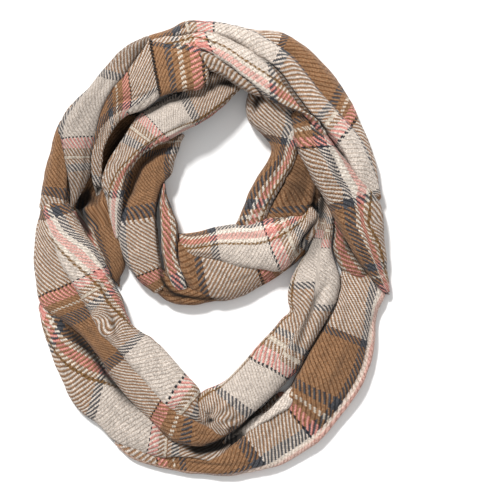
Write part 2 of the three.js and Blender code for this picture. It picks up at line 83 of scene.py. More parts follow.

# The stretches, the uppermost first. Rows have commas between them, and a line that begins with a
# blank goes on with the one above.
# base    height of the underside, if above nought
# rows    sections, clockwise round the ring: outer edge x, y, inner edge x, y, height at the outer
#         edge, at the inner edge, and extra height in between
# u       places in the plaid along the loop: x, y, value
# v       places across the loop: x, y, value at the outer edge, at the inner edge
# skew    x, y, how much further along the outer edge is than the inner edge
# step    share of the way across where a crease makes u jump, from and to
# across  bends v: share of the way, and what it becomes
# swirl   a bunched place: x, y, size, and how far the plaid turns there
# dim     painted shade: how much darker the whole stretch is painted than its neighbours; below
#         nought it is painted light, lighter
# rim     share of the way, from the outer edge, where the warp lies on top and the edge is mixed
#         towards peach, partly for its fuzz and partly as painted light
# c       a listed crease: depth (a trough is below nought) and half width, then x and y of its
#         points. Its trough is painted darker, as shade, by its depth; a third value says how dark,
#         where the depth doesn't tell, and below nought it paints light.
TABLES = """
outer_left_front
rows 68 206 74 206 12 12 0, 69 190 85 188 20 20 1, 67 172 92 170 26 26 2, 63 152 93 152 28 30 2,
 59 132 98 129 28 33 3, 70 106 105 108 28 35 3, 90 85 116 88 28 36 3, 107 65 129 72 28 36 3,
 124 48 141 56 28 34 2, 143 37 152 41 26 30 1
dim 0.2
u 72 200 -60, 79 180 -40, 79 168 -29, 78 157 -18.5, 76 143 -6.5, 77 135 0, 92 108 33, 108 76 70, 133 48 106,
 146 39 122
v 72 200 72 92, 80 170 64 108, 78 142 60 114, 88 107 57 117, 106 82 66 116, 118 68 80 113, 146 39 88 112
c -1 4.5, 118 62 98 92 86 122 80 150
c -0.9 1.4, 110 76 96 98 88 118 86 132
c -0.8 1.3, 98 84 86 104 78 124 75 138
c -0.7 1.2, 104 92 97 108 94 124
c -0.8 1.3, 88 90 76 108 70 124
c 0.9 4, 104 72 84 100 70 128 70 150
c -1.6 2.4, 92 118 88 146 86 170 80 194
c -1.2 2, 74 152 77 170 76 190
c -0.8 3, 140 46 128 58 116 76
c -0.6 12 0.2, 154 36 136 48 122 62 112 76
c -0.6 4 0.6, 156 36 146 42 136 52 128 62
c -1 1.3 0.3, 136 40 126 52 114 68

outer_top_crest
rows 150 35 153 42 26 28 0, 171 29 173 39 34 36 1, 190 22 193 37 36 38 2, 214 22 213 38 36 42 2,
 229 25 229 42 36 42 3, 242 28 242 49 36 42 3, 258 34 252 56 38 42 3, 281 48 268 68 36 42 3,
 296 60 282 81 36 40 3, 310 75 293 95 34 38 3, 324 94 306 112 34 38 3, 339 110 322 129 34 36 3,
 352 126 336 146 32 34 3, 366 148 350 168 30 32 2, 375 171 358 182 26 28 1, 380 192 366 198 20 20 0
dim -0.22
u 151 38 -52, 196 30 -11, 214 30 -1, 276 54 65, 285 61 75, 328 107 133, 335 114 144.5, 342 127 156.5,
 347.5 131 162, 372 190 228, 376 198 238
v 151 38 40 60, 192 30 60 84, 240 38 66 88, 300 75 66 90, 345 135 66 94, 373 192 66 92
c -5 2.6 0.75, 262 61 280 79 295 98 311 118 327 138 342 156
c -2.4 1.6 0.9, 324 134 334 148 344 160 352 172
c -1.5 2.2, 160 33 186 29 214 27 240 34
c -1.3 2, 176 36 204 33 232 39 258 52
c -0.9 3, 230 30 256 41 276 56 290 72
c 1 3.5, 250 40 284 60 310 88
c -1 3, 300 80 318 102 338 130 350 152
c 1.1 4, 344 132 358 154 368 182
c -1.1 2.6, 350 140 364 168 370 192

outer_top_inner_fold
base 26
rows 150 40 152 47 32 34 0, 172 36 176 48 38 40 0, 193 33 199 50 42 44 0, 212 32 219 61 44 48 1,
 229 38 232 71 44 50 2, 243 46 245 82 44 50 3, 257 54 258 92 44 50 3, 270 62 273 102 43 49 3,
 283 75 287 110 42 47 3, 295 92 301 114 40 45 2, 308 110 314 122 38 42 1, 322 128 322 134 34 36 0
dim -0.2
u 151 44 -52, 197 42 -9, 216 46 3, 244 64 37, 267 73 65, 275 80 75, 311 116 126, 322 131 142
v 151 44 104 114, 174 42 106 122, 196 42 110 132, 215 46 104 134, 230 54 102 136, 270 82 99 138,
 298 103 110 136, 322 131 120 130
c -5 2.8 0.75, 256 54 270 64 283 78 296 96 308 112 322 130
c -1.6 1.9, 200 40 222 50 246 68 262 84
c -1.3 1.8, 196 46 218 58 240 76 256 90
c -1.5 2, 244 56 266 72 286 92 302 110
c -1.4 1.7, 262 84 280 98 298 112
c 0.9 3, 230 48 252 62 276 84 292 100
c -0.9 1.6, 276 86 292 102 306 116

outer_seam_left
base 24
rows 95 194 102 195 10 10 0, 91 175 102 175 19 21 0, 91 154 103 154 26 28 1, 95 131 109 138 30 32 1,
 101 111 116 125 32 34 2, 109 94 126 116 34 36 2, 120 79 141 111 34 38 2, 132 63 152 105 34 38 3,
 150 41 160 98 33 38 3
u 98 192 -101, 96 176 -88, 97 160 -74, 104 122 -38, 118 95 -11, 128 90 -1, 155 70 27
v 98 192 68 82, 97 160 66 82, 103 130 58 82, 110 113 44 80, 130 90 16 76, 155 70 4 74
skew 155 70 -2, 142 80 -10, 128 90 -26, 114 104 -28, 100 140 -12, 98 192 0
across 0 0, 0.79 0.729, 0.84 0.779, 0.85 0.92, 1 1
c -4 4 1, 90 190 97 191 105 188
c -2.4 1.8, 111 109 122 101 138 98 160 92
c -0.1 3.8 -1.1, 108 116 116 107 128 102 144 98 162 93
c -2 1.8, 99 168 101 146 106 124 113 108
c -1.4 1.8, 95 170 97 148 102 126
c -0.8 4, 112 100 124 84 140 66
c 1 3.5, 124 92 138 76 150 60

outer_seam_right
base 26
rows 151 41 161 98 34 40 3, 164 41 172 94 38 43 3, 180 42 187 92 41 45 2, 195 45 200 91 43 46 1,
 204 52 207 86 43 44 0
dim -0.2
u 154 70 112, 171 72 134, 183 70 144.5, 197 70 156.5, 206 70 163
v 154 70 138 188, 183 70 134 186, 206 70 136 176
c -1 3.5, 164 52 170 70 174 90
c -1.2 2.2, 154 48 174 47 196 52
c 0.8 4, 184 54 190 72 192 88

outer_top_roll
base 28
rows 198 50 209 72 44 44 2, 214 56 222 78 46 44 2, 229 67 236 87 46 44 2, 243 78 249 94 46 43 2,
 255 88 260 97 44 41 0
u 203 61 163, 230 77 195, 258 92 228
v 203 61 148 168, 258 92 150 168
c -1.6 1.7, 204 64 226 72 252 90

outer_right_arm
rows 308 106 290 117 34 34 1, 322 128 291 133 34 34 2, 334 145 296 147 33 34 3, 346 158 303 164 32 34 3,
 358 170 313 183 31 33 3, 371 184 323 200 28 32 3, 381 203 332 214 24 30 3, 385 222 341 231 22 28 3,
 385 243 352 250 20 26 3, 387 265 364 268 17 22 2, 389 281 376 284 13 17 1, 389 291 386 293 8 10 0
u 299 111 126, 306 129 144.5, 306 142 156.5, 315 147 162, 338 175 197, 362 199 233, 384 262 294, 388 291 325
v 299 111 132 172, 306 130 130 170, 315 147 127 160, 330 166 125 155, 345 192 120 154, 352 210 106 152,
 358 226 98 148, 368 246 109 147, 375 266 114 147, 388 291 116 142
across 0 0, 0.43 0.397, 0.47 0.476, 0.5 0.587, 0.56 0.667, 1 1
c -2.2 2.6, 330 148 336 168 342 188 346 202
c 1.2 3, 322 142 330 164 336 186
c -1.5 2.2, 318 148 320 166 328 184 334 200
c -1.6 1.8, 352 206 362 226 372 250 382 274
c -1.5 1.8, 362 206 372 228 380 254 386 276
c -1.3 1.7, 346 216 356 238 368 262 380 284
c -1.2 1.8, 374 200 380 224 383 250
c -1.2 2.2, 294 124 304 122 316 126
c 1 4, 350 172 362 190 370 206
c -1 3, 340 158 352 174 362 194

outer_left_edge
rows 40 206 60 212 16 18 0, 41 198 68 206 20 22 1, 43 187 72 190 22 24 2, 46 168 71 170 22 25 2,
 51 150 68 152 22 24 2, 55 134 64 136 20 22 1, 60 122 66 126 16 18 0
u 50 208 -108, 53 190 -91, 56 150 -52, 63 124 -25
v 50 208 10 45, 63 124 12 42
c -4.5 2.6, 69 150 71 170 71 190 66 206
c -1 3, 58 200 60 178 61 156 62 136
c 0.8 4, 50 196 53 170 57 146
c -0.9 2.2, 46 204 54 196 66 194

inner_left_strand
base 14
rows 115 236 120 232 18 18 0, 110 217 121 211 24 26 0, 105 198 124 196 26 31 1, 102 182 127 182 27 34 2,
 108 162 132 168 27 36 3, 118 146 142 156 28 38 3, 128 130 154 148 28 40 4, 140 113 168 141 28 41 4,
 158 101 183 133 29 41 4, 178 91 197 125 30 40 4, 195 82 212 115 30 38 3, 211 72 225 104 30 36 2,
 226 64 236 92 30 34 1, 240 56 248 84 28 30 0
u 117 234 -152, 116 197 -95, 121 165 -52, 133 144 -29, 142 136 -18.5, 150 127 -6.5, 155 122 0, 184 110 65,
 193 106 75, 220 88 110, 244 70 138
v 117 234 126 146, 114 197 110 141, 119 172 92 136, 124 160 80 131, 150 127 68 128, 185 110 64 122,
 215 92 70 120, 244 70 74 116
c -5 4.5, 142 114 158 103 176 97 194 95 208 93
c -7 5, 200 92 214 84 230 82 246 86
c -2 1.8, 123 192 128 172 142 154 162 138 184 126 206 112
c -1.5 1.8, 114 214 112 192 116 168 130 146 146 132
c -1.2 1.7, 120 216 119 194 122 172 136 152
c -1.2 1.6, 106 196 108 174 118 152 130 138
c 0.8 5, 160 112 176 112 190 108
c -1.3 1.8, 188 104 208 94 230 80
c -1.2 1.8, 192 112 212 100 236 84
c -1 1.6, 184 122 204 110 224 96
c -1 1.8, 196 96 216 84 238 70

outer_right_inner
rows 336 206 315 196 16 16 0, 334 217 319 212 18 17 0, 332 233 316 231 19 18 1, 331 250 307 249 20 20 2,
 337 266 298 266 22 22 3, 341 282 291 283 23 23 3, 337 300 289 300 24 24 3, 328 318 290 312 25 24 3,
 318 336 281 321 26 24 3, 308 353 270 333 26 24 3, 299 369 259 344 26 24 3, 289 381 247 358 26 24 3,
 272 398 231 375 26 24 3, 253 414 217 386 26 25 4, 239 427 204 391 25 25 4, 223 437 195 400 23 25 3,
 212 438 195 411 18 20 1, 204 436 198 421 12 13 0
swirl 218 433 17 -0.7
u 325 201 -48, 326 225 -20, 326 238 -6.5, 322 244 0, 316 283 55, 308 303 78, 289 343 138, 281 353 148,
 272 361 156.5, 268 367 162, 252 382 190, 236 397 228, 228 404 238, 214 417 268, 205 424 286, 201 429 300
v 325 201 78 104, 324 240 72 110, 312 290 69 118, 290 345 62 118, 250 385 62 118, 214 417 70 120,
 201 429 80 112
skew 325 201 0, 322 240 -10, 316 283 -27, 308 303 -27, 289 343 -8, 268 367 0, 201 429 0
step 0.44 0.52
c -4.6 2.6, 329 276 322 289 313 306 306 324 300 342 295 362
c 2.4 4.5, 334 284 328 298 319 316 311 334 304 352
c -1.2 2.2, 304 290 300 308 292 326 284 338
c 1 3, 312 286 304 306 296 326
c -1 2, 296 286 296 304 288 318
c -1.4 3, 320 236 316 254 300 262
c -0.2 9 0.5, 324 208 317 232 310 250 303 268
c -0.2 6 1.1, 326 184 323 198 320 213 316 230
c -1 4, 330 252 326 268 322 284
c -0.8 5, 284 346 266 364 248 380
c -4.5 3.2, 210 426 207 419 208 412
c -0.5 2.6 1.6, 205 424 209 422 213 420
c -1.8 2, 209 422 214 408 224 394
c -1.8 2, 211 424 224 412 238 400
c -1.8 2, 213 427 230 422 246 412
c -1.5 1.8, 206 420 203 408 207 394
c -1.4 1.8, 212 430 226 431 240 424
c 1.4 2.6, 217 414 230 402 240 392

outer_left_inner
rows 210 437 209 425 14 14 0, 190 426 200 404 24 24 1, 176 416 199 390 27 26 2, 161 406 184 371 28 27 3,
 144 385 170 356 28 27 3, 128 366 152 338 28 27 3, 117 352 142 332 28 27 3, 106 341 131 322 28 27 3,
 93 319 121 299 28 28 3, 80 299 112 280 28 28 3, 68 279 104 264 28 28 3, 58 260 94 246 27 27 3,
 50 236 82 228 25 25 2, 44 216 71 208 22 22 1, 41 200 62 192 18 18 0
dim -0.06
swirl 100 327 16 0.85
u 209 431 -216, 196 415 -192, 186 404 -180, 176 392 -165, 172 388 -162, 139 343 -98, 132 338 -88,
 98 300 -27, 91 293 -18.5, 86 281 -6.5, 82 275 0, 57 222 62, 51 198 84
v 57 211 124 155, 66 232 119 151, 76 253 108 139, 86 272 100 135, 96 290 94 130, 107 309 95 128,
 118 331 88 119, 140 351 80 111, 172 388 75 111, 195 408 70 110, 209 431 70 100
c 2.2 5, 92 314 99 325 108 338
c -2.4 1.8 0.55, 104 306 110 314 114 324 116 335 122 342
c -1.3 1.5, 88 312 93 324 101 336 110 345
c -1.1 1.3, 96 311 101 321 107 332
c -2 2, 90 268 102 285 113 302 120 318
c 1.3 3.2, 98 264 110 284 120 304
c -1.2 2.2, 58 226 70 244 84 260
c -1 2.4, 56 240 70 264 84 284
c -1.4 1.9, 98 308 110 322 124 338 134 346
c -1.2 1.8, 106 306 118 322 132 334
c -0.7 6, 146 352 164 374 180 392
c -2.4 2.2, 206 424 196 410 188 396
c -2 2, 207 428 190 418 174 404
c -1.4 1.8, 205 420 200 406 196 394
c 1.2 2.8, 200 420 186 408 176 396

inner_left_roll
rows 178 297 190 294 16 16 0, 171 284 187 280 22 22 1, 165 268 182 264 25 24 2, 162 250 178 249 27 26 2,
 161 232 178 231 28 27 2, 160 214 174 215 28 27 2, 160 199 168 198 27 26 1, 162 186 166 186 24 24 0
u 184 296 -102, 176 267 -84, 170 240 -66, 168 215 -48, 164 186 -33
v 184 296 118 136, 170 240 119 138, 164 186 120 134
c -1.8 1.4, 166 192 166 214 168 240 174 268 184 290
c -1.2 1.3, 171 206 172 232 176 260 184 282

inner_front
rows 322 224 307 204 18 20 0, 317 234 300 214 22 24 0, 307 247 290 215 26 28 1, 297 258 280 218 27 30 2,
 283 269 265 220 27 31 3, 266 272 250 223 27 31 3, 246 270 235 224 27 30 3, 226 265 219 226 27 29 3,
 208 261 203 230 26 28 2, 194 257 188 233 24 26 1, 183 252 180 232 20 22 0
dim -0.18
u 315 214 112, 299 232 134, 289 240 146, 278 248 156.5, 272 248 162, 221 248 226, 212 247 237, 181 242 275
v 315 214 84 120, 299 232 76 137, 270 246 82 139, 222 246 86 140, 200 246 96 142, 181 242 110 138
c -8 4.5, 322 214 315 228 306 242 296 256
c -1.4 1.8, 206 240 236 236 266 236 294 228
c -1.3 1.7, 186 240 200 236 216 232 232 230
c -1.6 1.8, 184 248 198 248 212 244
c -1.2 1.6, 188 252 204 255 220 256
c 0.9 4.5, 226 252 252 256 276 250
c -1.1 1.8, 280 260 294 246 304 232
c -1.1 1.8, 286 264 300 250 312 234
c -1 1.8, 276 244 290 236 302 224

inner_right_strand
rows 296 98 250 87 30 30 0, 296 112 246 104 31 30 1, 296 126 249 121 31 29 2, 298 140 262 133 31 28 2,
 298 152 271 147 30 27 2, 294 166 268 161 29 26 2, 286 180 259 176 28 25 2, 278 192 250 192 27 24 2,
 273 203 243 207 26 23 2, 267 216 236 223 25 22 1, 262 228 229 236 22 20 0
u 273 94 12, 272 124 50, 280 137 66, 283 157 88, 265 192 124, 262 200 131, 258 208 138, 246 232 160
v 273 94 136 182, 272 124 132 178, 284 150 110 160, 272 178 111 150, 264 192 110 147, 258 208 110 146,
 246 232 112 146
c -7 5, 262 90 256 100 251 114
c 0.5 2.4 -0.7, 296 152 288 168 279 184 268 206
c -1.4 1.7, 290 146 280 168 268 190 254 218
c -1.5 1.7, 262 96 268 112 278 130 284 146
c -1.5 1.7, 254 98 262 116 272 134 276 150
c -1.3 1.7, 270 94 278 112 286 130 290 144
c -1.2 1.6, 248 104 254 118 262 130
c 0.9 4, 272 158 262 180 250 204

inner_left_side
rows 152 294 166 282 18 20 0, 136 279 162 268 20 24 1, 124 262 160 253 20 26 2, 117 242 158 235 20 27 2,
 112 222 158 216 20 27 2, 113 206 160 197 20 26 2, 116 192 163 184 20 25 1, 118 176 171 174 20 25 1,
 128 160 174 160 20 26 1, 144 148 179 147 20 27 1, 164 136 184 136 22 28 0
u 159 288 -180, 150 274 -166, 146 268 -160, 140 222 -100, 138 212 -93, 138 203 -86, 148 172 -48,
 166 150 -27, 174 136 -12
v 159 288 146 180, 140 245 134 177, 137 215 129 176, 138 203 128 178, 140 190 126 196, 147 172 124 214,
 166 152 140 222, 174 136 160 222
c -9 4.8 0.25, 170 142 153 151 141 162 132 177 126 195 120 214
c -0.2 4.4 0.5, 170 142 153 151 141 162 133 175
c -5 2.8, 160 194 159 220 160 244 165 268 172 286
c -0.3 1.8 1.3, 159 262 162 280 172 292 186 297 204 299 226 298
c -0.3 1.4 0.6, 184 283 194 288 206 291 220 291
c -1 3, 128 206 126 230 132 256 146 276
c -1 3, 150 176 146 200 150 226 154 256
c 0.8 5, 140 180 136 210 140 250
c -1.4 2, 166 150 160 168 158 186
c -1.2 1.6, 160 144 172 148 178 156
c -1 1.6, 156 158 168 164 174 170

inner_right_side
rows 308 150 288 158 24 24 0, 314 168 284 174 26 24 2, 319 184 276 188 26 23 4, 323 196 270 200 25 22 4,
 319 208 266 211 23 21 3, 309 220 264 220 20 19 1
u 298 154 74, 297 190 118, 291 206 130, 286 220 146
v 298 154 18 40, 297 190 6 52, 286 220 8 50
c -5 13, 306 158 300 186 284 212
c -10 5, 323 184 320 202 312 216 298 225
c -5 3, 288 160 278 184 268 206
c -1.3 3.2, 300 160 296 180 286 204
c -1.1 2.4, 308 166 308 186 300 208
c -1 2.2, 290 172 284 188 278 204

inner_front_under
rows 305 254 296 244 10 14 0, 293 265 284 254 13 18 1, 277 277 268 260 15 20 2, 259 287 250 260 16 22 3,
 240 296 232 256 17 23 3, 222 300 212 252 18 24 3, 206 298 196 248 19 24 2, 192 291 184 244 20 24 1,
 183 279 178 240 20 24 0
u 300 249 122, 280 265 142, 270 269 153, 258 274 163, 206 273 226, 196 272 238, 181 260 254
v 300 249 26 44, 255 274 10 46, 206 273 8 52, 181 260 8 46
c -1.2 2.2, 204 284 228 284 252 276 276 266
c -1.2 1.8, 184 256 192 270 204 284
c -0.3 1.8 1.3, 159 262 162 280 172 292 186 297 204 299 226 298
c -1 1.8, 194 252 206 266 222 274

inner_bottom_edge
rows 246 294 240 280 8 12 0, 230 299 225 284 10 14 0, 213 302 208 286 12 16 1, 197 305 194 288 13 18 1,
 181 305 183 286 13 20 1, 168 302 173 280 13 20 1, 154 291 163 270 13 20 1, 140 281 150 262 12 20 1,
 129 269 140 252 10 18 0
u 243 287 236, 197 296 262, 150 282 290, 134 260 300
v 243 287 20 36, 190 296 10 34, 134 260 12 36
c -1.6 1.5 0.7, 140 272 160 290 184 298 212 296 236 290
c -0.3 1.8 1.3, 159 262 162 280 172 292 186 297 204 299 226 298
c -1 1.5, 150 284 172 298 200 300

outer_left_middle
rows 117 285 120 277 7 7 0, 111 277 125 266 13 13 0, 103 262 124 252 17 17 1, 90 247 119 232 18 18 1,
 79 231 115 214 16 18 1, 71 215 112 197 12 18 1, 71 199 112 182 9 17 0, 82 178 116 165 9 16 0,
 96 150 124 146 11 16 0, 108 128 134 130 12 16 0, 120 114 146 116 12 16 0
u 118 281 -90, 107 240 -50, 101 226 -38, 97 205 -38, 104 160 -62, 133 115 -88
v 118 281 148 180, 110 264 132 178, 100 225 114 176, 96 196 132 182, 133 115 150 190
c -9 8, 144 112 126 128 112 149 105 172 99 192
c -6 7, 72 208 80 203 90 196 98 186
c -8 5.5 1.9, 90 184 80 200 77 209 81 222 90 238
c -2.2 2.2, 98 186 94 208 100 234 110 260
c -1.8 2, 90 196 88 214 94 238 106 264
c -1.2 2, 106 196 108 218 114 244
c 1.2 2.4, 86 208 92 232 102 254

outer_left_lower
rows 232 434 222 430 14 16 0, 221 441 213 428 20 22 0, 211 446 205 424 22 24 1, 197 447 196 420 22 25 1,
 173 441 182 411 22 25 2, 154 426 168 400 22 25 2, 131 402 148 378 22 25 2, 112 381 132 360 22 25 2,
 97 356 118 342 22 25 2, 82 339 104 326 21 24 2, 62 322 92 308 20 24 2, 40 306 80 290 16 24 2,
 34 280 70 268 14 23 2, 33 252 60 250 13 22 2, 35 226 54 228 13 20 1, 41 204 50 206 12 16 0
u 227 432 -236, 208 436 -216, 197 434 -200, 186 430 -191, 175 424 -181.5, 162 413 -169.5, 155 406 -162,
 120 361 -98, 113 355 -89, 88 327 -36, 78 312 -28, 70 304 -18.5, 60 296 -6.5, 54 288 0, 45 215 72
v 227 432 20 40, 160 412 6 50, 110 352 4 50, 60 298 2 54, 46 252 2 48, 45 210 14 36
c -1.4 2.4, 52 296 74 316 98 342 120 366
c -1.2 2.2, 128 378 148 400 166 420 190 436
c 1 4, 84 318 106 344 130 370
c -1 3, 42 230 44 256 52 284
c -1 2, 176 418 196 432 216 436
c -3 4 2.2, 248 420 239 429 226 442 214 447 200 450

outer_right_tuck
rows 296 400 298 380 16 14 0, 289 409 287 391 18 14 1, 279 414 276 401 18 13 1, 269 420 266 410 17 12 1,
 259 427 251 415 15 11 0, 250 436 239 424 12 10 0, 241 443 229 433 9 9 0, 233 448 223 441 7 7 0
dim -0.2
u 297 390 158, 268 415 194, 246 433 220, 236 444 233
v 297 390 84 104, 268 415 84 100, 240 440 86 98
c -3.5 3.2 1.8, 284 386 274 397 265 403 252 415 239 428 226 442
c -0.8 2.2, 292 396 276 408 258 422
c -0.1 7.5 1.7, 246 433 238 441 230 447 224 452

outer_left_bottom
rows 232 446 232 430 8 5 0, 220 461 218 436 12 5 0, 210 463 205 438 13 5 1, 196 460 190 434 14 6 1,
 173 458 174 428 14 9 2, 150 456 158 415 12 17 2, 130 450 142 399 12 17 3, 112 441 125 384 12 17 3,
 96 424 110 368 12 17 3, 80 412 100 350 11 17 3, 67 393 86 335 11 17 3, 52 362 70 320 10 17 2,
 42 332 56 306 10 15 1, 37 310 46 300 8 12 0
u 232 440 -252, 206 450 -224, 190 446 -208, 160 438 -174, 154 438 -169, 148 437 -162, 100 398 -98,
 93 392 -88, 70 355 -50, 44 309 -6
v 232 440 84 116, 180 444 74 116, 150 438 70 112, 119 414 70 118, 90 381 90 139, 60 342 108 152,
 44 309 118 146
c -4.5 5 2.2, 252 415 239 429 226 442 214 447 200 450 186 446
c -7 6 1.1, 58 316 80 341 97 359 111 378 126 396 142 414
c -1.8 2.2, 52 330 68 352 86 374 104 392
c -1.3 2, 48 344 64 370 84 394
c -1.2 2, 58 326 74 344 92 364
c 1 3, 62 340 80 366 98 390
c -0.7 6, 104 398 124 416 142 432
c -1.4 1.7, 156 430 176 440 200 446 222 446
c -1.2 1.7, 152 440 174 450 200 454

outer_right_under
rows 343 214 330 216 10 10 0, 348 228 334 228 13 13 0, 354 244 333 248 14 14 1, 364 260 340 268 14 14 1,
 374 274 354 281 12 13 1, 383 285 369 289 10 11 0, 389 293 382 293 6 6 0
dim 0.25
u 336 215 236, 354 266 282, 386 292 316
v 336 215 114 130, 347 256 113 134, 386 292 116 130
c -4.5 7 0.8, 338 216 350 240 364 262 380 284
c -1.8 1.7, 342 222 352 246 366 268 380 288

outer_right_lower
rows 389 288 350 262 8 10 0, 386 297 342 272 12 16 1, 380 308 338 290 14 20 2, 376 326 334 306 14 22 3,
 374 350 322 330 14 24 3, 367 376 309 352 14 24 3, 355 398 298 372 14 23 3, 337 423 288 390 13 19 3,
 319 442 278 394 12 12 3, 302 454 264 406 12 11 3, 283 466 250 419 12 11 2, 264 471 241 438 12 16 2,
 245 475 230 447 11 14 1, 226 477 218 456 10 12 1, 206 476 204 458 9 10 0, 178 473 176 452 9 10 0,
 154 467 152 448 9 10 0, 132 459 134 440 8 9 0, 116 446 122 432 6 7 0
u 370 275 6, 366 281 12, 345 331 65, 342 339 75, 317 389 130, 312 398 138, 311 408 144.5, 304 420 156.5,
 300 426 162.5, 256 448 228, 246 458 238, 225 466 256, 190 466 290, 168 463 315, 155 459 326, 119 439 362
v 370 275 117 168, 355 322 117 186, 330 384 117 188, 300 424 118 178, 262 447 122 168, 232 466 131 168,
 190 466 141 166, 119 439 150 166
across 0 0, 0.115 0.243, 0.28 0.386, 1 1
rim 0.11
c -9 6, 280 392 262 404 250 418 240 434
c -3 4 2, 258 410 239 429 226 442 214 447 200 450
c -1.9 1.7, 382 298 371 330 366 360 352 388 334 414 316 434 298 448
c 1.2 2.4, 385 302 376 330 371 362 357 392 339 418 320 438 300 453
c -1.2 4.5, 348 292 346 320 336 350
c -1.6 2.6, 296 398 306 412 320 428
c 1.1 5, 344 340 334 368 320 390
c -1.2 3, 288 414 274 432 256 448
c -1 2.4, 262 426 248 446 236 462
c -1.5 1.6, 244 466 214 466 180 462 148 456
c -0.9 3, 300 436 282 448 262 460

outer_top_outer_fold
rows 238 26 238 38 18 24 0, 257 30 251 43 20 26 1, 277 31 268 56 20 27 2, 296 39 284 68 20 27 2,
 315 53 299 84 20 27 2, 329 69 313 102 19 26 2, 342 88 327 118 18 25 2, 355 110 341 134 17 24 2,
 371 144 354 154 16 22 1, 378 173 364 178 14 20 1, 382 196 370 200 12 16 0
dim -0.2
u 238 32 27, 262 40 52, 278 41 66, 286 46 76, 334 97 131, 339 101 138, 344 106 144.5, 350 116 156.5,
 354 122 162, 366 165 205, 376 198 240
v 238 32 30 50, 280 46 6 50, 325 86 6 50, 346 116 12 50, 356 140 22 52, 376 198 26 50
c -1.5 2.6, 262 38 286 50 308 70 322 92
c -1 2.4, 284 40 306 56 324 78 336 98
c 0.9 3.4, 278 38 304 52 326 76 340 100
c -1 2.4, 344 106 356 128 368 156
"""

# How far an end is rounded off, and in how many rings. The seam's two ends butt.
END_REACH = (4.0, 4.0)
END_REACHES = {"outer_seam_left": (4.0, 0.6), "outer_seam_right": (0.6, 4.0), "outer_right_arm": (4.0, 1.0)}
END_RINGS = 5
END_TURN = math.pi / 2 / 5.15    # turn from ring to ring; the last one stays just open
END_MIDDLE = 0.4                 # height of an end's middle, as a share


def read_stretches(text):
    stretches = {}
    for block in text.replace("\n ", " ").strip().split("\n\n"):
        name, *entries = block.split("\n")
        table = stretches[name] = {"base": [0.0], "dim": [0.0], "creases": []}
        for entry in entries:
            key, values = entry.split(" ", 1)
            rows = [[float(k) for k in row.split()] for row in values.split(",")]
            if key == "c":
                table["creases"].append(rows)
            else:
                table[key] = rows if "," in values else rows[0]
    return stretches


# A smooth uneven value from -1 to 1, from a seeded grid that repeats. Each stretch has its own number.
def uneven(kind, number, x, y, size=48):
    grid = np.random.default_rng(SEEDS[kind] + number).uniform(-1.0, 1.0, (size, size))
    xi, yi = np.floor(x).astype(int), np.floor(y).astype(int)
    xf, yf = smoothstep(0, 1, x - xi), smoothstep(0, 1, y - yi)

    def between(j):
        a, b = (grid[(xi + i) % size, (yi + j) % size] for i in (0, 1))
        return a + (b - a) * xf
    return between(0) * (1 - yf) + between(1) * yf


def smoothstep(low, high, x):
    f = np.clip((x - low) / (high - low), 0.0, 1.0)
    return f * f * (3 - 2 * f)


# The rows of a table at places between its rows, on a smooth curve through them
def rows_at(rows, places):
    last = len(rows) - 1
    i = np.minimum(places.astype(int), last - 1)
    f = (places - i)[:, None]
    b, c = rows[i], rows[i + 1]
    slope_in = (c - rows[np.maximum(i - 1, 0)]) / 2
    slope_out = (rows[np.minimum(i + 2, last)] - b) / 2
    f2, f3 = f * f, f * f * f
    return ((2 * f3 - 3 * f2 + 1) * b + (f3 - 2 * f2 + f) * slope_in
            + (3 * f2 - 2 * f3) * c + (f3 - f2) * slope_out)


# Places along a fold that lie evenly on its middle line, and how far along each is
def stations(rows):
    fine = np.linspace(0, len(rows) - 1, ROW_STEPS * (len(rows) - 1) + 1)
    at = rows_at(rows, fine)
    middle = (at[:, 0:2] + at[:, 2:4]) / 2
    along = np.concatenate([[0.0], np.cumsum(np.hypot(*np.diff(middle, axis=0).T))])
    count = max(4, int(math.ceil(along[-1] / STEP)))
    even = np.linspace(0, along[-1], count + 1)
    return np.interp(even, along, fine), even


# The closed profile of every station: over the back from the outer to the inner edge, and underneath
# to the slot. Gives its points, their share of the way across and the height of the foot.
def profiles(at, base):
    turn = np.linspace(0, math.pi, BACK_POINTS)
    reach = (np.abs(np.cos(turn)) ** EDGE_POWER + np.abs(np.sin(turn)) ** EDGE_POWER) ** (-1 / EDGE_POWER)
    back = np.clip((1 - reach * np.cos(turn)) / 2, 0, 1)[None, :]
    rise = np.clip(reach * np.sin(turn), 0, 1)[None, :]
    width = np.hypot(at[:, 2] - at[:, 0], at[:, 3] - at[:, 1])[:, None]
    outer_z, inner_z, extra = at[:, 4:5], at[:, 5:6], at[:, 6:7]
    least = np.minimum(outer_z, inner_z)
    foot = np.maximum(0, np.minimum(base, least - LEAST_HEIGHT))
    top = outer_z + (inner_z - outer_z) * back + extra * 4 * back * (1 - back)
    belly = foot + (top - foot) * EDGE_HEIGHT
    height = belly + (top - belly) * rise
    inset = np.minimum(FOOT_INSET / width, 0.3)
    slot = np.minimum(SLOT / width, 0.1)
    ankle = foot + (least - foot) * EDGE_HEIGHT * ANKLE
    share = np.hstack([0.5 - slot, inset, inset / 3, back + 0 * width, 1 - inset / 3, 1 - inset, 0.5 + slot])
    height = np.hstack([foot, foot, ankle, height, ankle, foot, foot])
    x = at[:, 0:1] + (at[:, 2:3] - at[:, 0:1]) * share - MIDDLE_X
    y = MIDDLE_Y - (at[:, 1:2] + (at[:, 3:4] - at[:, 1:2]) * share)
    return np.stack([x, y, height], axis=-1), share, foot


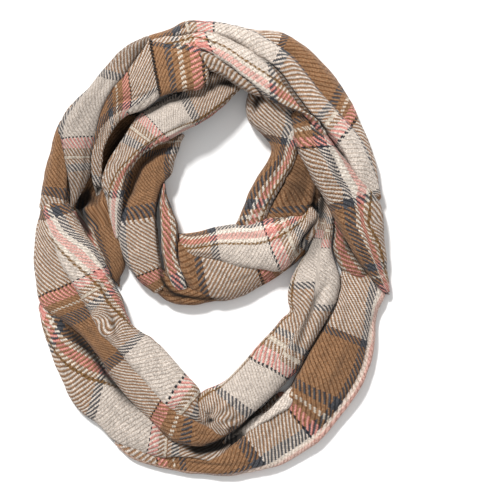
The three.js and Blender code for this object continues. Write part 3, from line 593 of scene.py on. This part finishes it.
# A value along a fold from marks on the sheet, each at the station whose row passes nearest to it.
# Past the first and last mark it goes on as before if "onward", and otherwise stays the same.
def marked(at, along, marks, column=2, onward=True):
    outer, across = at[:, 0:2], at[:, 2:4] - at[:, 0:2]
    found = []
    for mark in marks:
        point = np.array(mark[:2])
        f = np.clip(((point - outer) * across).sum(1) / (across ** 2).sum(1), 0, 1)
        distance = np.hypot(*(outer + across * f[:, None] - point).T)
        found.append((along[int(np.argmin(distance))], mark[column]))
    found.sort()
    place, value = np.array(found).T
    inside = np.interp(along, place, value)
    if onward:
        first = (value[1] - value[0]) / max(place[1] - place[0], 1)
        last = (value[-1] - value[-2]) / max(place[-1] - place[-2], 1)
        inside = np.where(along < place[0], value[0] + (along - place[0]) * first, inside)
        inside = np.where(along > place[-1], value[-1] + (along - place[-1]) * last, inside)
    return inside


# Distance from points to a smooth line through given points, and how far along the line the
# nearest place is, 0 to 1
def near_line(x, y, line):
    line = np.reshape(line, (-1, 2))
    line = rows_at(line, np.linspace(0, len(line) - 1, LINE_STEPS * (len(line) - 1) + 1))
    best, place, total = np.full(x.shape, 1e9), np.zeros(x.shape), 0.0
    for (ax, ay), (bx, by) in zip(line, line[1:]):
        length = math.dist((ax, ay), (bx, by))
        f = np.clip(((x - ax) * (bx - ax) + (y - ay) * (by - ay)) / length ** 2, 0, 1)
        distance = np.hypot(x - ax - (bx - ax) * f, y - ay - (by - ay) * f)
        closer = distance < best
        best = np.where(closer, distance, best)
        place = np.where(closer, total + f * length, place)
        total += length
    return best, place / total


def normals_of(points):
    normal = np.cross(np.gradient(points, axis=1), np.gradient(points, axis=0))
    return normal / np.maximum(np.linalg.norm(normal, axis=2, keepdims=True), 1e-9)


# How far the cloth stands out from the fold's form: listed creases, long soft folds, puckers
# along the twill, and the edges of the layers on the flanks. Also the painted shade of each place,
# from its creases and its stretch, which below nought is painted light.
def relief(table, number, points, normal, s, c, foot):
    x, y, z = points[..., 0] + MIDDLE_X, MIDDLE_Y - points[..., 1], points[..., 2]
    up = smoothstep(*FACE_UP, normal[..., 2])
    out, painted_shading = np.zeros(x.shape), np.zeros(x.shape)
    for k, ((depth, width, *dark), line) in enumerate(table["creases"]):
        distance, place = near_line(x, y, line)
        ends = np.sin(math.pi * np.clip(place * 0.94 + 0.03, 0, 1)) ** 0.7
        vary = 1 + CREASE_VARY * uneven("crease", number, place * 7 + 11 * k, place * 0 + k)
        trough = np.exp(-(distance / (width * vary)) ** 2)
        out += up * depth * ends * vary * trough
        # painted shade: the bottom of a crease is darkened in colour by its depth or its third value, and
        # lightened where that is below nought
        gloom = dark[0] if dark else max(0.0, min(-depth / GLOOM_DEPTH, 1.0)) ** 1.3
        gloom = np.minimum(trough * ends * gloom, 1.0)
        painted_shading = np.where(gloom < 0, painted_shading + gloom, np.maximum(painted_shading, gloom))
    # painted shade over the whole stretch; a dim below nought paints light
    painted_shading += table["dim"][0] * (1 - painted_shading)
    out += (SOFT_FOLD[0] * uneven("fold", number, s / SOFT_FOLD[1], c / SOFT_FOLD[2])
            + WAVE[0] * uneven("wave", number, s / WAVE[1], c / WAVE[2])
            + PUCKER[0] * uneven("pucker", number, (s + c) / PUCKER[1], (s - c) / PUCKER[2]))
    flank = smoothstep(*FLANK, 1 - np.abs(normal[..., 2]))
    height = np.max(z, axis=1, keepdims=True) - foot
    layer = (z - foot) / np.maximum(height / LAYERS, LAYER_LEAST)
    layer += LAYER_VARY[0] * uneven("layer", number, s / LAYER_VARY[1], c * 0)
    groove = np.exp(-((layer % 1.0 - 0.5) / GROOVE_WIDTH) ** 2)
    out -= flank * groove * (GROOVE[0] + GROOVE[1] * uneven("groove", number, s / GROOVE[2], layer // 1.0))
    return out * smoothstep(*FOOT_CALM, z - foot), painted_shading


# Turns the plaid round a point of the sheet, where the cloth is bunched
def swirled(points, u, v, at_x, at_y, size, turn):
    dx, dy = points[..., 0] + MIDDLE_X - at_x, MIDDLE_Y - points[..., 1] - at_y
    away = np.hypot(dx, dy)
    angle = turn * np.exp(-(away / size) ** 4)
    turned = np.stack([np.cos(angle) * dx + np.sin(angle) * dy - dx,
                       np.cos(angle) * dy - np.sin(angle) * dx - dy], axis=-1)
    near = (away < size) & (points[..., 2] > SWIRL_ABOVE)
    plane = np.stack([dx[near], dy[near], np.ones(near.sum())], axis=1)
    slopes = [np.linalg.lstsq(plane, value[near], rcond=None)[0][:2] for value in (u, v)]
    return u + turned @ slopes[0], v + turned @ slopes[1]


# A fold's points without relief, with places in the plaid (u, v), distances along the fold and from its
# middle (s, c), the height of the foot and the share of fuzzy rim
def fold_points(table):
    rows = np.array(table["rows"])
    places, along = stations(rows)
    at = rows_at(rows, places)
    ways, share, foot = profiles(at, table["base"][0])
    steps = np.sqrt((np.diff(ways, axis=1) ** 2).sum(-1))
    arc = np.concatenate([np.zeros((len(ways), 1)), np.cumsum(steps, axis=1)], axis=1)
    columns = int(math.ceil(arc[:, -1].max() / STEP)) + 1
    even = np.linspace(0, 1, columns)[None, :] * arc[:, -1:]
    points = np.array([[np.interp(e, a, w) for w in way.T] for e, a, way in zip(even, arc, ways)])
    points = points.transpose(0, 2, 1)
    face = slice(UNDER, -UNDER)
    outer_mark, inner_mark = (np.array([[np.interp(mark, p[face], a[face])] for p, a in zip(share, arc)])
                              for mark in (FACE_FROM, 1 - FACE_FROM))
    u = marked(at, along, table["u"])[:, None]
    v_outer, v_inner = (marked(at, along, table["v"], k, onward=k == 2)[:, None] for k in (2, 3))
    # The face seen from above keeps the charted places; the flanks go on at the cloth's true scale
    part = np.clip((even - outer_mark) / (inner_mark - outer_mark), 0, 1)
    part = FACE_FROM + (1 - 2 * FACE_FROM) * part
    rim = smoothstep(1.15, 0.85, part / table["rim"][0]) if "rim" in table else part * 0
    if "across" in table:
        part = np.interp(part, *np.array(table["across"]).T)
    beyond = np.minimum(even - outer_mark, 0) + np.maximum(even - inner_mark, 0)
    v = v_outer + (v_inner - v_outer) * part + np.sign(v_inner - v_outer) * beyond
    jump = smoothstep(*table["step"], part) if "step" in table else part
    skew = marked(at, along, table["skew"])[:, None] if "skew" in table else 0
    u = u + skew * (0.5 - jump)
    if "swirl" in table:
        u, v = swirled(points, u, v, *table["swirl"])
    return points, u, v, along[:, None] + v * 0, even - arc[:, -1:] / 2, foot, rim


# Rounds the last end off with shrinking rings that move out along the fold
def add_end(points, u, v, marks, reach):
    ring = points[-1]
    out = ring.mean(0) - points[-2].mean(0)
    out[2] = 0
    out /= np.linalg.norm(out)
    low, high = ring[:, 2].min(), ring[:, 2].max()
    centre = np.array([*ring[:, :2].mean(0), low + (high - low) * END_MIDDLE])
    turns = np.arange(1, END_RINGS + 1)[:, None] * END_TURN
    moved = reach * np.sin(turns)
    rings = centre + (ring - centre) * np.cos(turns)[..., None] + out * moved[..., None]
    more_u = u[-1] + (u[-1] - u[-2]) / STEP * moved
    added = (rings, more_u, [v[-1]] * END_RINGS, [marks[-1]] * END_RINGS)
    return [np.concatenate(pair) for pair in zip((points, u, v, marks), added)]


# Puts points and faces in the scene as a smooth piece of one material
def placed(name, points, faces, material):
    mesh = bpy.data.meshes.new(name)
    mesh.from_pydata(points, [], faces)
    mesh.validate()
    mesh.polygons.foreach_set("use_smooth", np.ones(len(mesh.polygons), dtype=bool))
    mesh.materials.append(material)
    piece = bpy.data.objects.new(name, mesh)
    bpy.context.scene.collection.objects.link(piece)
    return piece


# Places a grid of points as cloth, with its UV map and two marks: the painted shade and light of
# the creases and stretches, and the rim
def placed_cloth(name, points, u, v, marks, material):
    rows, columns = points.shape[:2]
    index = np.arange(rows * columns).reshape(rows, columns)
    faces = np.stack([index[:-1, :-1], index[:-1, 1:], index[1:, 1:], index[1:, :-1]], axis=-1).reshape(-1, 4)
    piece = placed(name, (points * MM).reshape(-1, 3).tolist(), faces.tolist(), material)
    # Whole repeats are added, so that no place in the UV map is below nought
    uv = np.stack([u.ravel() + WEFT_REPEAT * 4, v.ravel() + WARP_REPEAT * 2], axis=1) / UV_UNIT
    layer = piece.data.uv_layers.new(name="cloth")
    layer.data.foreach_set("uv", uv[faces.ravel()].astype(np.float32).ravel())
    for k, mark in enumerate(("painted_shading", "rim")):
        values = marks[..., k].astype(np.float32).ravel()
        piece.data.attributes.new(mark, "FLOAT", "POINT").data.foreach_set("value", values)
    return piece


# Makes one stretch, and gives its first row of points and normals, which the stitches follow
def make_fold(number, name, table, material):
    points, u, v, s, c, foot, rim = fold_points(table)
    normal = normals_of(points)
    middle = points.shape[1] // 2
    if normal[:, middle, 2].mean() < 0:
        normal = -normal
    # relief, and the painted shade and light of each place, which is stored with the cloth
    raised, painted_shading = relief(table, number, points, normal, s, c, foot)
    points = points + normal * raised[..., None]
    # Where a deep crease nears the floor, the cloth's own thickness stays above it
    lowest = np.where(normal[..., 2] > UPWARD, CLOTH_THICKNESS + FLOOR_GAP, 0.0)
    points[..., 2] = np.maximum(points[..., 2], lowest)
    marks = np.stack([painted_shading, rim], axis=-1)
    first_row = points[0], normal[0]
    grids = points, u, v, marks
    for reach in END_REACHES.get(name, END_REACH):
        grids = add_end(*(grid[::-1] for grid in grids), reach)
    points, u, v, marks = grids
    points[..., 2] = np.maximum(points[..., 2], 0.0)
    if normals_of(points)[points.shape[0] // 2, middle, 2] < 0:
        points, u, v, marks = points[::-1], u[::-1], v[::-1], marks[::-1]
    piece = placed_cloth("cloth_" + name, points, u, v, marks, material)
    shell = piece.modifiers.new("thickness", "SOLIDIFY")
    shell.thickness = CLOTH_THICKNESS * MM
    shell.offset = -1
    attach(piece, "root")
    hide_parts(name)
    return first_row


LIGHT = 1.70             # how bright a level white surface is under the lamps


# A colour from the sRGB values that it shows under the lamps
def srgb(r, g, b, light=LIGHT):
    def linear(value):
        value /= 255
        return value / 12.92 if value <= 0.04045 else ((value + 0.055) / 1.055) ** 2.4
    return tuple(linear(k) / light for k in (r, g, b)) + (1.0,)


BEIGE = srgb(226, 214, 203)
CREAM = srgb(234, 222, 208)
WHITE = srgb(240, 230, 218)
PALE = srgb(224, 211, 195)
# pale peach of the turned edge: fuzz, and partly painted light
PEACH = srgb(246, 218, 203)
BROWN = srgb(163, 125, 92)
SLATE = srgb(86, 87, 92)
NAVY = srgb(44, 46, 54)
CORAL = srgb(230, 163, 153)
OCHRE = srgb(140, 106, 62)

# The sett: colours of the yarns from each place on. The pattern repeats.
WARP = [(0, BROWN), (55, SLATE), (65, BEIGE), (115, OCHRE), (117, CREAM), (122, CORAL), (129, WHITE),
        (134, SLATE)]
WEFT = [(0, BEIGE), (65, SLATE), (75, BROWN), (130, SLATE), (138, BROWN), (142.8, PALE), (146.3, BROWN),
        (152, CORAL), (161, NAVY)]
# Bands of it: middle and half width
BEIGE_WEFT, WHITE_WEFT = (32.5, 32.5), (144.5, 1.8)
BEIGE_WARP, LIGHT_WARP, LINE_WARP = (90, 25), (125.5, 8.5), (116, 1.4)


# Node helpers for a material
class Weave:
    def __init__(self, name):
        self.material = bpy.data.materials.new(name)
        self.material.use_nodes = True
        self.tree = self.material.node_tree
        self.tree.nodes.clear()

    def node(self, kind, inputs=(), **settings):
        made = self.tree.nodes.new(kind)
        for key, value in settings.items():
            setattr(made, key, value)
        for key, value in dict(inputs).items():
            if isinstance(value, bpy.types.NodeSocket):
                self.tree.links.new(value, made.inputs[key])
            else:
                made.inputs[key].default_value = value
        return made

    def math(self, operation, a, b=0.0, c=0.0):
        return self.node("ShaderNodeMath", enumerate((a, b, c)), operation=operation).outputs[0]

    def times(self, a, b):
        return self.math("MULTIPLY", a, b)

    def plus(self, a, b):
        return self.math("ADD", a, b)

    def times_plus(self, a, b, c):
        return self.math("MULTIPLY_ADD", a, b, c)

    def both(self, place, band, other_place, other_band):
        return self.times(self.math("COMPARE", place, *band), self.math("COMPARE", other_place, *other_band))

    def mix(self, factor, a, b, blend="MIX"):
        return self.node("ShaderNodeMix", {"Factor": factor, 6: a, 7: b}, data_type="RGBA", blend_type=blend,
                         clamp_factor=False, clamp_result=True).outputs[2]

    def between(self, factor, low, high):
        inputs = {"Value": factor, "To Min": low, "To Max": high}
        return self.node("ShaderNodeMapRange", inputs, clamp=False).outputs["Result"]

    def noise(self, vector, scale, detail=2.0):
        return self.node("ShaderNodeTexNoise", {"Vector": vector, "Scale": scale, "Detail": detail}).outputs

    def attribute(self, name):
        return self.node("ShaderNodeAttribute", attribute_name=name).outputs["Fac"]

    # A place moved a little by two sizes of noise, one for each direction
    def shaken(self, place, noises):
        parts = self.node("ShaderNodeSeparateXYZ", {0: place}).outputs
        moved = [self.times(parts[k], UV_UNIT) for k in (0, 1)]
        for scale, reach in noises:
            noise = self.node("ShaderNodeSeparateColor", {0: self.noise(place, scale)["Color"]}).outputs
            moved = [self.plus(m, self.between(noise[k], -reach, reach)) for k, m in enumerate(moved)]
        return moved

    # The colour of the yarn that a place belongs to
    def stripes(self, yarn, repeat, sett):
        ramp = self.node("ShaderNodeValToRGB")
        ramp.color_ramp.interpolation = "CONSTANT"
        elements = ramp.color_ramp.elements
        elements[0].position, elements[0].color = 0.0, sett[0][1]
        elements.remove(elements[1])
        for start, colour in sett[1:]:
            elements.new(start / repeat).color = colour
        place = self.times(self.plus(yarn, 0.5), YARN)
        place = self.math("DIVIDE", self.math("FLOORED_MODULO", place, repeat), repeat)
        self.tree.links.new(place, ramp.inputs[0])
        return ramp.outputs[0]

    def finished(self, colour, roughness, specular, others=()):
        inputs = {"Base Color": colour, "Roughness": roughness, "Specular IOR Level": specular}
        inputs.update(others)
        shader = self.node("ShaderNodeBsdfPrincipled", inputs)
        self.node("ShaderNodeOutputMaterial", {0: shader.outputs[0]})
        return self.material


def plaid_material():
    w = Weave("plaid_twill")
    place = w.node("ShaderNodeUVMap", uv_map="cloth").outputs[0]
    u, v = w.shaken(place, ((4.5, 1.4), (42.0, 0.35)))
    # The yarn that each place belongs to in both directions, and which of the two lies on top
    weft_at, warp_at = w.math("DIVIDE", u, YARN), w.math("DIVIDE", v, YARN)
    weft_yarn, warp_yarn = w.math("FLOOR", weft_at), w.math("FLOOR", warp_at)
    weft = w.stripes(weft_yarn, WEFT_REPEAT, WEFT)
    warp = w.stripes(warp_yarn, WARP_REPEAT, WARP)
    step = w.math("FLOORED_MODULO", w.plus(weft_yarn, warp_yarn), TWILL)
    # Over the beige weft the light stripes of the warp lie on top nearly all along, and over the beige
    # warp the white stripe of the weft does. On a turned edge the warp lies on top.
    in_weft = w.math("FLOORED_MODULO", u, WEFT_REPEAT)
    in_warp = w.math("FLOORED_MODULO", v, WARP_REPEAT)
    rim = w.attribute("rim")
    light = w.both(in_weft, BEIGE_WEFT, in_warp, LIGHT_WARP)
    white = w.both(in_weft, WHITE_WEFT, in_warp, BEIGE_WARP)
    lifted = w.math("SUBTRACT", w.times_plus(light, 0.45, rim), white)
    weft_on_top = w.math("LESS_THAN", step, w.between(lifted, 1.5, -0.5))
    colour = w.mix(weft_on_top, w.mix(0.02, warp, weft), w.mix(0.02, weft, warp))
    # The thin dark line between beige and cream lies on the face nearly all along
    wave = w.math("SINE", w.times(u, 0.9))
    on_line = w.math("COMPARE", w.times_plus(wave, 0.5, in_warp), *LINE_WARP)
    colour = w.mix(w.times(on_line, w.between(weft_on_top, 0.92, 0.5)), colour, OCHRE)
    # The turned edge is mixed towards peach, partly as fuzz and partly as painted light on a flank
    # that faces away from the lamp, and the light stripes towards white, as fuzz
    colour = w.mix(w.times(rim, 0.6), colour, PEACH)
    colour = w.mix(w.times(light, 0.25), colour, WHITE)
    # The round back of each yarn, and the diagonal ribs of the twill. Their height makes the bump and also
    # sets the painted shade and light of the yarns.
    backs = {0: weft_on_top, 2: w.math("PINGPONG", warp_at, 0.5), 3: w.math("PINGPONG", weft_at, 0.5)}
    yarn = w.times(w.node("ShaderNodeMix", backs, data_type="FLOAT").outputs[0], 2.0)
    diagonal = w.times(w.plus(w.plus(weft_at, warp_at), -0.5), math.tau / TWILL)
    rib = w.math("ABSOLUTE", w.math("SINE", diagonal))
    deep = w.times_plus(w.math("COSINE", diagonal), -0.5, 0.5)
    height = w.times_plus(deep, 0.4, w.times_plus(rib, 0.3, w.times(yarn, 0.3)))
    cell = w.node("ShaderNodeCombineXYZ", {0: weft_yarn, 1: warp_yarn}).outputs[0]
    each = w.node("ShaderNodeTexWhiteNoise", {"Vector": cell}, noise_dimensions="2D").outputs["Value"]
    # Painted shade darkens the low places between the yarns and painted light lifts their tops; each
    # yarn and each place is a little different
    fibres = w.noise(place, 75.0, 3.0)["Fac"]
    patches = w.noise(place, 9.0, 3.0)["Fac"]
    # painted shade and light between and on the yarns
    gap = w.node("ShaderNodeGamma", {0: colour, 1: w.between(height, 1.69, 0.76)}).outputs[0]
    # painted shade from the creases and stretches darkens the colour, to nearly black at the deepest
    shade = w.times(w.between(fibres, 0.35, 1.65), w.between(w.attribute("painted_shading"), 1.0, 0.06))
    shade = w.times(w.times(shade, w.between(patches, 0.90, 1.10)), w.between(each, 0.71, 1.29))
    tone = w.node("ShaderNodeCombineColor", enumerate([shade] * 3)).outputs[0]
    rise = w.plus(height, w.times(fibres, 0.5))
    bump = w.node("ShaderNodeBump", {"Strength": 0.55, "Distance": 0.0007, "Height": rise}).outputs[0]
    return w.finished(w.mix(1.0, gap, tone, "MULTIPLY"), w.between(fibres, 0.82, 0.98), 0.18,
                      {"Normal": bump, "Sheen Weight": 0.12, "Sheen Roughness": 0.5})


def thread_material():
    w = Weave("seam_thread")
    grain = w.noise(w.node("ShaderNodeTexCoord").outputs["Object"], 900.0)["Fac"]
    colour = w.mix(grain, srgb(16, 14, 15, 1.0), srgb(48, 40, 38, 1.0))
    return w.finished(colour, w.between(grain, 0.7, 0.9), 0.2)


STITCH_UP = 0.35        # the row lies where the cloth faces up at least so far
STITCH_GAP = 3.6        # from stitch to stitch
STITCH_THICK = 1.0      # half the thickness
STITCH_RISE = 1.3       # height of the middle above the cloth
STITCH_REACH = 1.8      # a little more than half the length
STITCH_TURN = 1.35      # how far round its ends lie from the middle
STITCH_RINGS = 7
STITCH_SIDES = 8


# The stitches that join the tube's two ends, in a row on the seam
def make_stitches(line, normal):
    places = np.flatnonzero(normal[:, 2] > STITCH_UP)
    line, normal = line[places], normal[places]
    ahead_of = np.gradient(line, axis=0)
    run = np.concatenate([[0.0], np.cumsum(np.linalg.norm(np.diff(line, axis=0), axis=1))])
    points, faces = [], []
    for k, place in enumerate(np.arange(1.0, run[-1] - 1.0, STITCH_GAP)):
        centre, up, ahead = (np.array([np.interp(place, run, q[:, i]) for i in range(3)])
                             for q in (line, normal, ahead_of))
        ahead /= np.linalg.norm(ahead)
        lean = ahead * 0.5 + np.cross(up, ahead) * (0.87 + 0.1 * math.sin(k * 2.4))
        cross = np.cross(up, lean)
        first = len(points)
        for turn in np.linspace(-STITCH_TURN, STITCH_TURN, STITCH_RINGS):
            thick = STITCH_THICK * math.cos(turn) ** 0.5
            for r in np.linspace(0, 2 * math.pi, STITCH_SIDES, endpoint=False):
                points.append(centre + up * (STITCH_RISE + thick * math.sin(r))
                              + lean * STITCH_REACH * math.sin(turn) + cross * thick * math.cos(r))
        rings = np.arange(first, len(points)).reshape(STITCH_RINGS, STITCH_SIDES)
        for ring, after in zip(rings, rings[1:]):
            faces += np.stack([ring, np.roll(ring, -1), np.roll(after, -1), after], axis=1).tolist()
        faces += [rings[0][::-1].tolist(), rings[-1].tolist()]
    piece = placed("seam_stitches", [tuple(p * MM) for p in points], faces, thread_material())
    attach(piece, "root")


# The studio, in metres
FLOOR_HALF = 3
FLOOR_DOWN = 0.0004
LAMP_RISE = math.radians(47)
PICTURE_SIDE = 0.5
PICTURE_LEVEL = 0.022   # height at which the picture's side is so long
PICTURE_MIDDLE = 250    # the sheet's x and y in its middle, in millimetres
CAMERA_AWAY = 4.0       # from that level


# The floor, the soft light and the camera, straight above
def make_studio():
    scene = bpy.context.scene
    corners = [(x * FLOOR_HALF, y * FLOOR_HALF, 0) for x, y in ((-1, -1), (1, -1), (1, 1), (-1, 1))]
    white = Weave("floor_white").finished((0.86, 0.86, 0.86, 1), 0.9, 0.1)
    floor = placed("floor", corners, [(0, 1, 2, 3)], white)
    floor.location.z = -FLOOR_DOWN

    lamp = bpy.data.lights.new("key", "SUN")
    lamp.energy = 4.2
    lamp.angle = math.radians(9)
    lamp.color = (1.0, 0.99, 0.975)
    key = bpy.data.objects.new("key", lamp)
    towards = (-0.45 * math.cos(LAMP_RISE), 0.893 * math.cos(LAMP_RISE), math.sin(LAMP_RISE))
    key.rotation_mode = "QUATERNION"
    key.rotation_quaternion = Vector(towards).to_track_quat("Z", "Y")
    scene.collection.objects.link(key)

    scene.world = bpy.data.worlds.new("studio")
    scene.world.use_nodes = True
    background = scene.world.node_tree.nodes["Background"]
    background.inputs["Color"].default_value = (1.0, 1.0, 1.0, 1)
    background.inputs["Strength"].default_value = 0.72

    lens = bpy.data.cameras.new("camera")
    lens.sensor_width = 36
    lens.lens = lens.sensor_width * CAMERA_AWAY / PICTURE_SIDE
    lens.clip_end = 50
    camera = bpy.data.objects.new("camera", lens)
    camera.location = ((PICTURE_MIDDLE - MIDDLE_X) * MM, (MIDDLE_Y - PICTURE_MIDDLE) * MM,
                       PICTURE_LEVEL + CAMERA_AWAY)
    scene.collection.objects.link(camera)
    scene.camera = camera
    scene.view_settings.view_transform = "Standard"


make_studio()
plaid = plaid_material()
first_rows = {}
for number, (name, table) in enumerate(read_stretches(TABLES).items()):
    first_rows[name] = make_fold(number, name, table, plaid)
make_stitches(*first_rows["outer_seam_right"])

bpy.context.view_layer.update()
